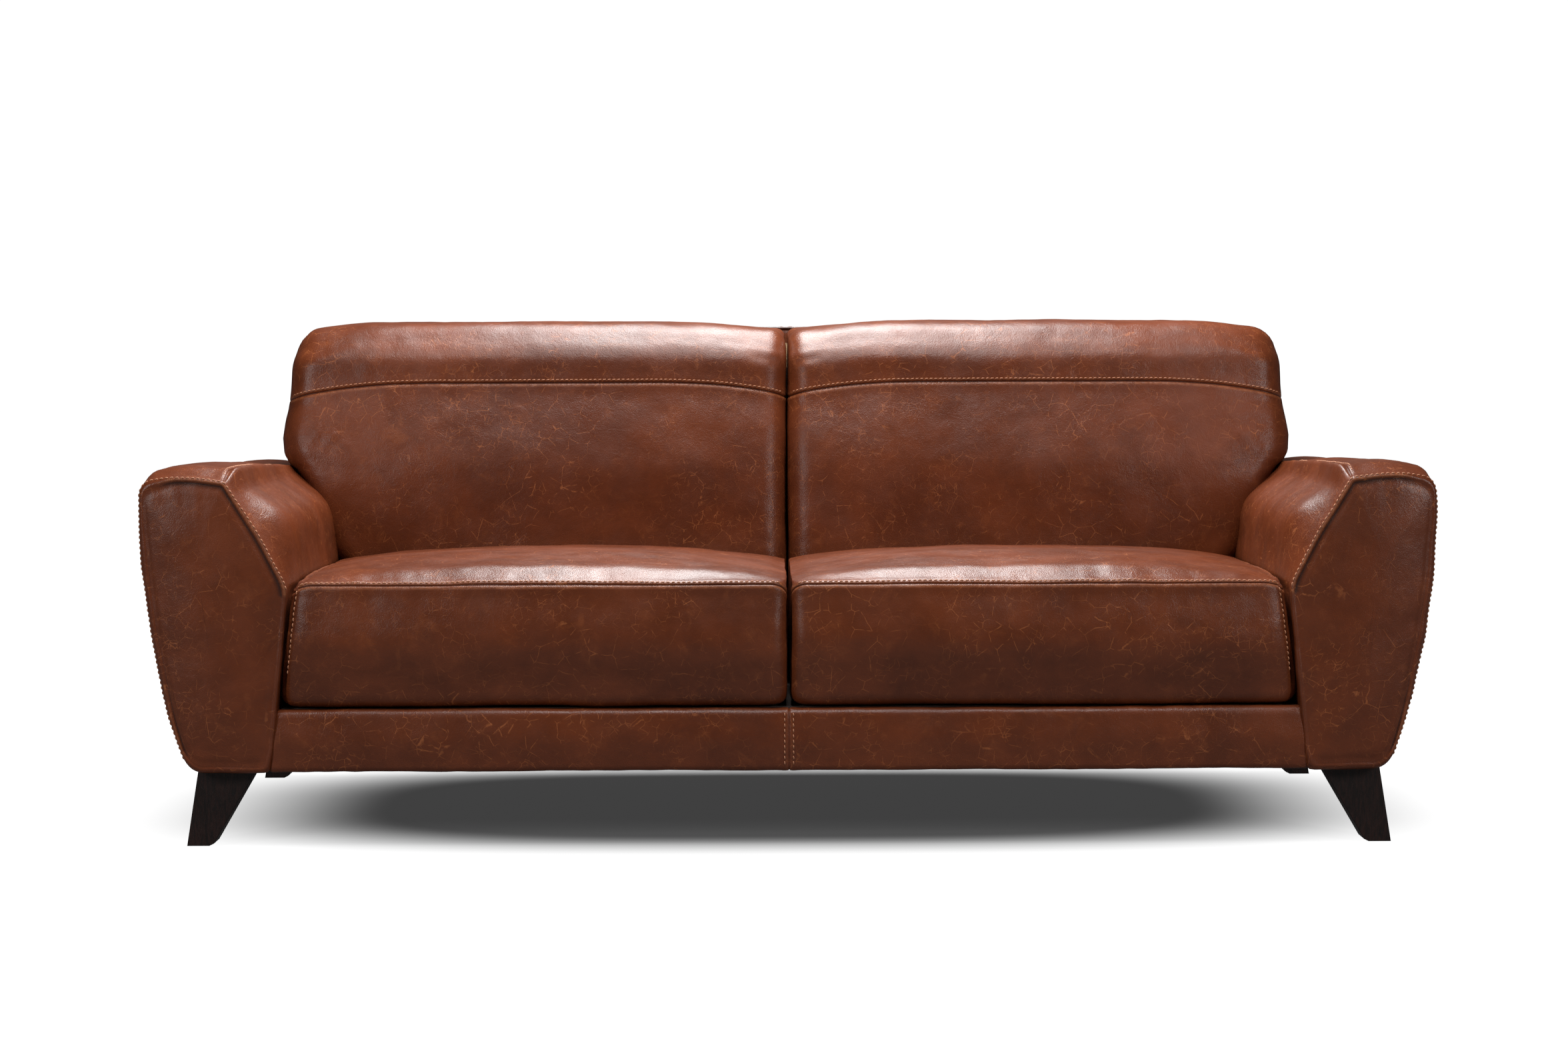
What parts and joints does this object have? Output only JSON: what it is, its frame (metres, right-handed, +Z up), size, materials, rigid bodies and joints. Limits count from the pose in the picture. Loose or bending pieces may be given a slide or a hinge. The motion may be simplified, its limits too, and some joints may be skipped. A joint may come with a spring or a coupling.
{
  "type": "sofa",
  "caption": "Leather sofa with flared padded arms, loose box seat cushions, leaning back cushions with a rolled head and splayed tapered wooden legs.",
  "frame": {"origin": "middle of the footprint on the floor, under the overall box", "axes": "+X to the right as seen by someone facing the sofa, along its length; -Y the way the seat faces; +Z up"},
  "size_m": [2.1798, 0.937, 0.893],
  "materials": {
    "leather": "pull-up aniline leather, reddish brown, satin",
    "leg_wood": "dark espresso stain, satin lacquer",
    "frame_timber": "sawn pine and plywood, unfinished",
    "hardboard": "smooth hardboard",
    "foam": "open-cell polyurethane foam",
    "fibre_wrap": "bonded polyester fibre",
    "deck_felt": "needled felt faced with dark platform cloth",
    "dust_cloth": "black spun-bonded dust cloth",
    "webbing": "woven elastic webbing",
    "spring_steel": "oiled spring wire",
    "zinc_steel": "zinc-plated steel",
    "hook_and_loop": "moulded nylon hook and loop",
    "zip": "coil zip on woven tape",
    "glide": "nail-on nylon glide"
  },
  "bodies": {
    "sofa_frame": {"arm_bottom_board_left": "frame_timber", "arm_bottom_board_right": "frame_timber", "arm_cover_left": "leather", "arm_cover_right": "leather", "arm_front_board_left": "frame_timber", "arm_front_board_right": "frame_timber", "arm_inner_board_left": "frame_timber", "arm_inner_board_right": "frame_timber", "arm_padding_left": "foam", "arm_padding_right": "foam", "arm_rear_board_left": "frame_timber", "arm_rear_board_right": "frame_timber", "arm_top_board_left": "frame_timber", "arm_top_board_right": "frame_timber", "back_centre_post": "frame_timber", "back_core_left": "foam", "back_core_right": "foam", "back_cover_left": "leather", "back_cover_right": "leather", "back_lower_rail": "frame_timber", "back_post_left": "frame_timber", "back_post_right": "frame_timber", "back_top_rail": "frame_timber", "back_webbing": "webbing", "back_wrap_left": "fibre_wrap", "back_wrap_right": "fibre_wrap", "centre_rail": "frame_timber", "corner_blocks": "frame_timber", "deck_felt": "deck_felt", "deck_hook_strips": "hook_and_loop", "dust_cover": "dust_cloth", "frame_bolts": "zinc_steel", "frame_nuts": "zinc_steel", "front_rail": "frame_timber", "front_rail_cover": "leather", "front_rail_padding": "foam", "leg_bolts": "zinc_steel", "leg_front_left": "leg_wood", "leg_front_right": "leg_wood", "leg_glides": "glide", "leg_rear_left": "leg_wood", "leg_rear_right": "leg_wood", "leg_tee_nuts": "zinc_steel", "outside_back_board": "hardboard", "outside_back_cover": "leather", "rear_rail": "frame_timber", "seat_springs": "spring_steel", "side_rail_left": "frame_timber", "side_rail_right": "frame_timber", "spring_clips": "spring_steel"},
    "seat_cushion_left": {"seat_cover_left": "leather", "seat_wrap_left": "fibre_wrap", "seat_core_left": "foam", "seat_loop_strips_left": "hook_and_loop", "seat_zip_left": "zip"},
    "seat_cushion_right": {"seat_cover_right": "leather", "seat_wrap_right": "fibre_wrap", "seat_core_right": "foam", "seat_loop_strips_right": "hook_and_loop", "seat_zip_right": "zip"}
  },
  "joints": [
    {"name": "seat_cushion_left_pull", "type": "slide", "parent": "sofa_frame", "child": "seat_cushion_left", "axis": [0, -0.9986, 0.0523], "range_m": [0, 0.56]},
    {"name": "seat_cushion_right_pull", "type": "slide", "parent": "sofa_frame", "child": "seat_cushion_right", "axis": [0, -0.9986, 0.0523], "range_m": [0, 0.56]}
  ]
}
